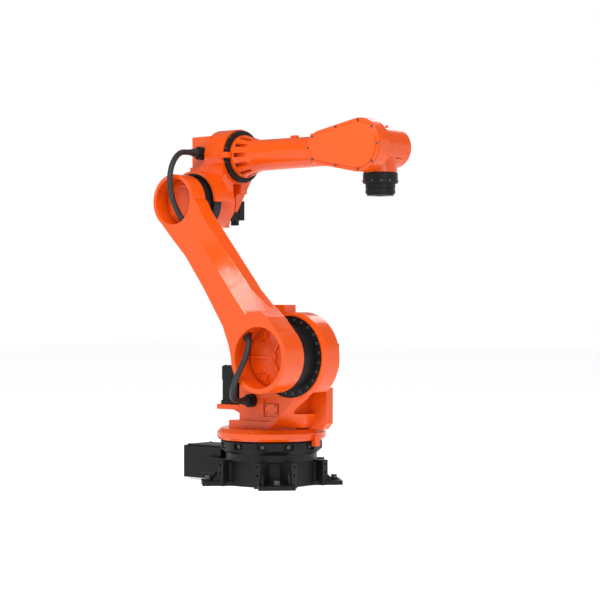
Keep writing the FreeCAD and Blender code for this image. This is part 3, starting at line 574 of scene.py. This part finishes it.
def forearm_screws():
    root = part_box("forearm_tube")[0].x + ROOT_FLANGE
    screws("forearm_root_screws", "forearm_tube",
           circle(Vector((root, 0, AXIS_4_Z)), ROOT_SCREW_RADIUS, 12, 0, Y, Z), X, 0.009, 0.012)
    ring_x = middle("axis_4_ring").x
    centre = Vector((ring_x, 0, AXIS_4_Z))
    screws("axis_4_ring_screws", "axis_4_ring", circle(centre, RING_4_RADIUS, 12, 15, Y, Z),
           outward(centre, X), 0.006, 0.004)


def wrist_cover_screws():
    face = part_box("wrist_housing")[0].y - COVER_FLANGE
    big = Vector((AXIS_5_X, face, AXIS_4_Z))
    small = big - X * COVER_LENGTH
    big_ring = COVER_BIG - COVER_SCREW_INSET
    small_ring = COVER_SMALL - COVER_SCREW_INSET
    lean = math.degrees(math.asin((COVER_BIG - COVER_SMALL) / COVER_LENGTH))
    places = [spot(big, big_ring, turn, X, Z) for turn in (-90, -45, 0, 45, 90)]
    places += [spot(small, small_ring, turn, X, Z) for turn in (130, 180, 230)]
    for turn in (90 + lean, -90 - lean):
        places.append((spot(big, big_ring, turn, X, Z) + spot(small, small_ring, turn, X, Z)) / 2)
    screws("wrist_cover_screws", "wrist_cover", places, -Y, 0.0065, 0.005)


def wrist_end_screws():
    centre = Vector((AXIS_5_X, 0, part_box("axis_6_ring")[0].z + 0.014))
    screws("axis_6_ring_screws", "axis_6_ring", circle(centre, RING_6_RADIUS, 12, 10, X, Y),
           outward(centre, Z), 0.006, 0.004)
    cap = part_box("wrist_end_cap")[1].y
    screws("end_cap_screws", "wrist_end_cap",
           circle(Vector((AXIS_5_X, cap, AXIS_4_Z)), 0.082, 8, 22, X, Z), Y, 0.0065, 0.005)


def motor_cap(node, along, half):
    """A raised end plate and its four screws on a motor's free end."""
    low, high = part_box(node)
    ways = [axis for axis in (X, Y, Z) if abs(axis.dot(along)) < 0.5]
    centre = low + sum((axis * half for axis in ways), Vector())
    end = max(low.dot(along), high.dot(along))
    centre += along * (end - centre.dot(along))
    bm = bmesh.new()
    plate = bmesh.ops.create_cube(bm, size=1, matrix=facing(centre + along * 0.0015, along)
                                  @ Matrix.Diagonal((1.72 * half, 1.72 * half, 0.005, 1)))
    bmesh.ops.bevel(bm, geom=list({edge for vertex in plate["verts"]
                                   for edge in vertex.link_edges}),
                    offset=0.0016, segments=2, profile=0.5, affect="EDGES", material=-1)
    finish_mesh(node + "_end_plate", bm, BLACK, body_and_slot(node)[0])
    corners = [centre + along * 0.004 + ways[0] * a * half * 0.68 + ways[1] * b * half * 0.68
               for a in (-1, 1) for b in (-1, 1)]
    screws(node + "_end_screws", node, corners, along, 0.0055, 0.004)


def strain_relief(name, at, along, body, length=0.062):
    """A ribbed rubber sleeve that narrows on to the hose."""
    wide, slim = 0.026, HOSE_RADIUS + 0.0012
    profile = [(0, slim - 0.004)]
    for step in range(7):
        radius = wide + (slim - wide) * step / 6
        start = length * step / 7
        profile += [(start, radius), (start + length * 0.09, radius),
                    (start + length * 0.1, radius - 0.0016),
                    (start + length * 0.13, radius - 0.0016)]
    profile.append((length, slim - 0.004))
    return turned_piece(name, profile, at, along, RUBBER, body)


def strain_reliefs():
    for name, gland, route, body in (
            ("lower_gland_relief", "lower_cable_gland", LOWER_HOSE, "carousel"),
            ("upper_gland_relief", "upper_cable_gland", UPPER_HOSE, "elbow")):
        start_x, _, start_z = route[0]
        strain_relief(name, Vector((start_x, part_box(gland)[0].y, start_z)), -Y, body)
    strain_relief("lower_web_relief", Vector((0.141, -0.385, 0.882)),
                  Vector((0.044, -0.008, -0.061)).normalized(), "link_arm", 0.050)
    strain_relief("upper_web_relief", Vector((-0.334, -0.385, 1.522)),
                  Vector((-0.048, -0.005, 0.066)).normalized(), "link_arm", 0.050)


def lug_eye():
    low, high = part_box("lifting_lug")
    centre = Vector(((low.x + high.x) / 2, low.y, high.z - 0.036))
    turned_piece("lug_eye_rim", [(-0.002, 0.024), (0.003, 0.023), (0.003, 0.017), (-0.002, 0.016)],
                 centre, -Y, ORANGE, body_and_slot("lifting_lug")[0])
    # The black disc inside the rim is painted shade that stands for the dark hole of the eye.
    turned_piece("lug_eye_painted_shade", [(-0.002, 0.016), (0.0004, 0.0155), (0.0004, 0.0002)],
                 centre, -Y, BLACK, body_and_slot("lifting_lug")[0])


housing_screws()
plate_screws("lower_plate_screws", "lower_hub_plate", AXIS_2, LOWER_PLATE_Y, 0.145,
             (0, 120, 240), 0.007)
plate_screws("upper_plate_screws", "upper_hub_plate", AXIS_3, UPPER_PLATE_Y, 0.113,
             (60, 180, 300), 0.006)
plate_ribs()
base_screws()
forearm_screws()
wrist_cover_screws()
wrist_end_screws()
strain_reliefs()
lug_eye()
motor_cap("axis_1_motor", Z, 0.064)
motor_cap("axis_2_motor", Y, 0.076)
motor_cap("axis_4_motor", Y, 0.052)


# ---- Studio ----------------------------------------------------------------------------

def plain_material(name, colour, roughness):
    material, tree, shader = new_material(name, colour, Roughness=roughness)
    place = tree.nodes.new("ShaderNodeTexCoord").outputs["Object"]
    tone = mix(tree, spread(tree, noise(tree, 0.8, 2, place), 0, 1), colour,
               tuple(0.985 * part for part in colour[:3]) + (1,))
    tree.links.new(tone, shader.inputs["Base Color"])
    shader.inputs["Emission Color"].default_value = (1, 1, 1, 1)
    shader.inputs["Emission Strength"].default_value = 0.68
    return material


def floor():
    bm = bmesh.new()
    bmesh.ops.create_grid(bm, x_segments=1, y_segments=1, size=30)
    mesh = bpy.data.meshes.new("studio_floor")
    bm.to_mesh(mesh)
    bm.free()
    sheet = bpy.data.objects.new("studio_floor", mesh)
    scene.collection.objects.link(sheet)
    paint(sheet, plain_material("studio_white", (0.93, 0.93, 0.93, 1), 0.8))


def area_light(name, place, target, width, power, colour=(1, 1, 1)):
    data = bpy.data.lights.new(name, "AREA")
    data.shape = "SQUARE"
    data.size = width
    data.energy = power
    data.color = colour
    holder = bpy.data.objects.new(name, data)
    scene.collection.objects.link(holder)
    holder.location = place
    holder.rotation_euler = (Vector(target) - Vector(place)).to_track_quat("-Z", "Y").to_euler()


def sky(horizon, above):
    """A white studio sky: bright low down all round, dimmer overhead."""
    world = bpy.data.worlds.new("studio_sky")
    scene.world = world
    world.use_nodes = True
    tree = world.node_tree
    height = tree.nodes.new("ShaderNodeSeparateXYZ")
    tree.links.new(tree.nodes.new("ShaderNodeTexCoord").outputs["Generated"],
                   height.inputs["Vector"])
    strength = spread(tree, height.outputs["Z"], horizon, above, 0.17, 0.3)
    background = tree.nodes["Background"]
    background.inputs["Color"].default_value = (1, 1, 1, 1)
    tree.links.new(strength, background.inputs["Strength"])


scene.view_settings.view_transform = "Standard"
floor()
sky(1.0, 0.26)
area_light("key_light", (1.7, -3.4, 5.2), (0, -0.4, 1.2), 2.8, 260)
area_light("side_light", (5.5, -2.2, 2.6), (0.1, -0.1, 1.1), 1.6, 35)
area_light("rim_light", (-1.5, 5.5, 4.5), (0, 0, 1.2), 2.0, 50)
